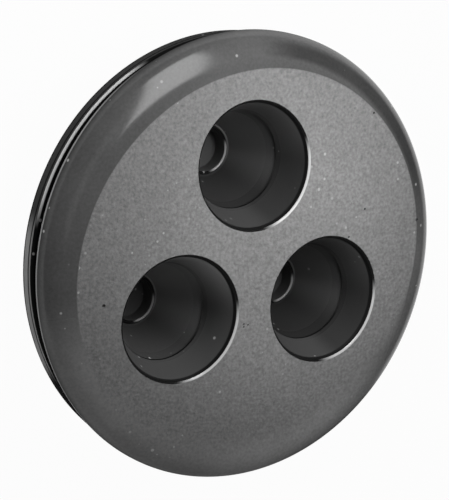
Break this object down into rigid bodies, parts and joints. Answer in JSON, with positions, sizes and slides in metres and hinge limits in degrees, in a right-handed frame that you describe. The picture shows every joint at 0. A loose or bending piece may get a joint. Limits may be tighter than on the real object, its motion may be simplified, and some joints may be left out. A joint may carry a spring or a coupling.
{
  "type": "rubber cable entry grommet",
  "caption": "Round moulded rubber grommet with a crowned grained face, equal cable holes, a groove that grips a panel cut-out and tapered closed nipples behind.",
  "frame": {"origin": "on the axis of the round body, level with the flat nipple tips that it stands on", "axes": "+Z along the axis, out of the crowned face; +Y from the axis towards the hole that is uppermost in the picture"},
  "size_m": [0.06, 0.06, 0.0162],
  "materials": {
    "rubber": "dark grey moulded rubber, finely grained on the face and smooth on the shoulder, flanges and holes"
  },
  "bodies": {
    "root": {"grommet_body": "rubber"}
  },
  "joints": []
}
